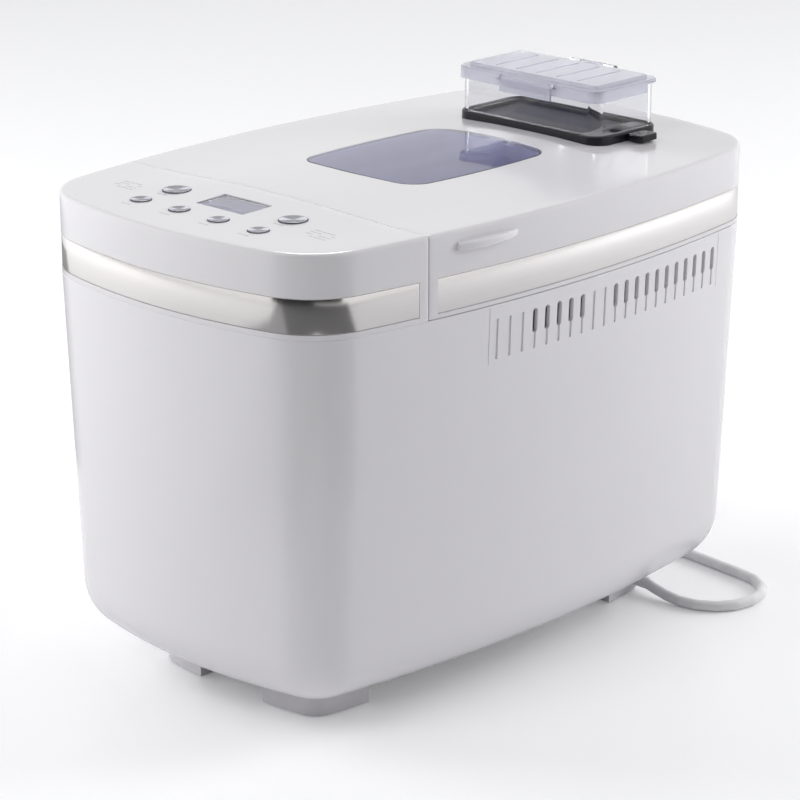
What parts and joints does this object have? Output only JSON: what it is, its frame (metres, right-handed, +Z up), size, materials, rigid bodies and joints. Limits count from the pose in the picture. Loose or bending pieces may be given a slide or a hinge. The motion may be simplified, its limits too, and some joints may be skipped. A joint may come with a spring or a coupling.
{
  "type": "bread machine",
  "caption": "Countertop bread machine with a rear-hinged lid, viewing window, fruit and nut dispenser, control panel and a long kneading pan.",
  "frame": {"origin": "centre of the casing's footprint on the worktop", "axes": "+Z up, -Y towards the control panel end, +Y towards the lid hinge, +X the right-hand side seen from the control panel"},
  "size_m": [0.2758, 0.5187, 0.3336],
  "materials": {
    "casing_white": "glossy moulded plastic",
    "trim_steel": "brushed along its length",
    "key_chrome": "polished",
    "display_glass": "clear and smooth",
    "display_cell": "satin",
    "window_glass": "tinted and glossy",
    "dark_plastic": "glossy",
    "clear_plastic": "clear and glossy",
    "steel_pin": "turned",
    "sheet_steel": "satin sheet",
    "chassis_paint": "satin grey",
    "heater_black": "dull oxide",
    "motor_steel": "satin",
    "bush_brass": "sintered bronze",
    "nonstick": "dark non-stick coat",
    "handle_steel": "drawn wire",
    "black_rubber": "matt",
    "gasket_grey": "matt silicone",
    "board_green": "lacquered board",
    "cord_grey": "soft satin"
  },
  "bodies": {
    "base": {"body_shell": "casing_white", "base_plate": "casing_white", "feet": "casing_white", "foot_pads": "black_rubber", "base_screws": "steel_pin", "panel_housing": "casing_white", "front_band": "trim_steel", "hinge_brackets": "casing_white", "hinge_pins": "steel_pin", "lcd_lens": "display_glass", "lcd_module": "display_cell", "control_board": "board_green", "deck_plate": "casing_white", "chamber": "sheet_steel", "heater": "heater_black", "heater_clips": "sheet_steel", "temp_sensor": "steel_pin", "chassis": "chassis_paint", "drive_bushes": "bush_brass", "motor": "motor_steel", "motor_mounts": "black_rubber", "drive_belt": "black_rubber", "link_belt": "black_rubber", "pan_clips": "sheet_steel", "power_board": "board_green", "cord_gland": "cord_grey", "cord": "cord_grey", "cord_coil": "cord_grey", "plug": "cord_grey"},
    "lid": {"lid_shell": "casing_white", "lid_band": "trim_steel", "lid_liner": "sheet_steel", "lid_gasket": "gasket_grey", "window_outer": "window_glass", "window_inner": "window_glass", "window_well": "sheet_steel", "dispenser_base": "dark_plastic", "dispenser_chute": "dark_plastic", "dispenser_hopper": "clear_plastic", "cover_pin": "steel_pin"},
    "cover": {"dispenser_cover": "clear_plastic"},
    "clasp": {"cover_clasp": "clear_plastic"},
    "flap": {"dispenser_flap": "dark_plastic"},
    "latch": {"flap_latch": "dark_plastic"},
    "left_key": {"key_large_left": "key_chrome"},
    "right_key": {"key_large_right": "key_chrome"},
    "key_1": {"key_small_1": "key_chrome"},
    "key_2": {"key_small_2": "key_chrome"},
    "key_3": {"key_small_3": "key_chrome"},
    "key_4": {"key_small_4": "key_chrome"},
    "motor_rotor": {"motor_pulley": "steel_pin"},
    "drive_front": {"drive_shaft_front": "steel_pin"},
    "drive_rear": {"drive_shaft_rear": "steel_pin"},
    "pan_body": {"pan": "nonstick", "pan_seals": "bush_brass"},
    "kneader_front": {"paddle_shaft_front": "steel_pin", "paddle_front": "nonstick"},
    "kneader_rear": {"paddle_shaft_rear": "steel_pin", "paddle_rear": "nonstick"},
    "handle": {"pan_handle": "handle_steel"}
  },
  "joints": [
    {"name": "lid_hinge", "type": "hinge", "parent": "base", "child": "lid", "pos_m": [0, 0.2087, 0.2495], "axis": [-1, 0, 0], "range_deg": [0, 85]},
    {"name": "cover_hinge", "type": "hinge", "parent": "lid", "child": "cover", "pos_m": [0, 0.1671, 0.33], "axis": [-1, 0, 0], "range_deg": [0, 100]},
    {"name": "clasp_hinge", "type": "hinge", "parent": "cover", "child": "clasp", "pos_m": [0.002, 0.1005, 0.3298], "axis": [-1, 0, 0], "range_deg": [0, 35]},
    {"name": "flap_hinge", "type": "hinge", "parent": "lid", "child": "flap", "pos_m": [-0.006, 0.156, 0.2987], "axis": [1, 0, 0], "range_deg": [0, 75]},
    {"name": "latch_slide", "type": "slide", "parent": "lid", "child": "latch", "axis": [1, 0, 0], "range_m": [0, 0.005]},
    {"name": "left_key_press", "type": "slide", "parent": "base", "child": "left_key", "axis": [0, 0, -1], "range_m": [0, 0.001], "stiffness_N_per_m": 600, "springref_m": -0.0006},
    {"name": "right_key_press", "type": "slide", "parent": "base", "child": "right_key", "axis": [0, 0, -1], "range_m": [0, 0.001], "stiffness_N_per_m": 600, "springref_m": -0.0006},
    {"name": "key_1_press", "type": "slide", "parent": "base", "child": "key_1", "axis": [0, 0, -1], "range_m": [0, 0.001], "stiffness_N_per_m": 600, "springref_m": -0.0006},
    {"name": "key_2_press", "type": "slide", "parent": "base", "child": "key_2", "axis": [0, 0, -1], "range_m": [0, 0.001], "stiffness_N_per_m": 600, "springref_m": -0.0006},
    {"name": "key_3_press", "type": "slide", "parent": "base", "child": "key_3", "axis": [0, 0, -1], "range_m": [0, 0.001], "stiffness_N_per_m": 600, "springref_m": -0.0006},
    {"name": "key_4_press", "type": "slide", "parent": "base", "child": "key_4", "axis": [0, 0, -1], "range_m": [0, 0.001], "stiffness_N_per_m": 600, "springref_m": -0.0006},
    {"name": "drive_front_spin", "type": "hinge", "parent": "base", "child": "drive_front", "pos_m": [0, -0.024, 0.0326], "axis": [0, 0, 1], "continuous": true},
    {"name": "motor_spin", "type": "hinge", "parent": "base", "child": "motor_rotor", "pos_m": [0, -0.146, 0.0326], "axis": [0, 0, 1], "continuous": true},
    {"name": "drive_rear_spin", "type": "hinge", "parent": "base", "child": "drive_rear", "pos_m": [0, 0.088, 0.0326], "axis": [0, 0, 1], "continuous": true},
    {"name": "pan_lift", "type": "slide", "parent": "base", "child": "pan_body", "axis": [0, 0, 1], "range_m": [0, 0.018]},
    {"name": "paddle_front_spin", "type": "hinge", "parent": "pan_body", "child": "kneader_front", "pos_m": [0, -0.024, 0.088], "axis": [0, 0, 1], "continuous": true},
    {"name": "paddle_rear_spin", "type": "hinge", "parent": "pan_body", "child": "kneader_rear", "pos_m": [0, 0.088, 0.088], "axis": [0, 0, 1], "continuous": true},
    {"name": "handle_swing", "type": "hinge", "parent": "pan_body", "child": "handle", "pos_m": [0, 0.032, 0.203], "axis": [0, -1, 0], "range_deg": [0, 15]}
  ],
  "couplings": [
    {"joint": "motor_spin", "follows": "drive_front_spin", "ratio": 5},
    {"joint": "drive_rear_spin", "follows": "drive_front_spin", "ratio": 1},
    {"joint": "paddle_front_spin", "follows": "drive_front_spin", "ratio": 1},
    {"joint": "paddle_rear_spin", "follows": "drive_front_spin", "ratio": 1}
  ]
}
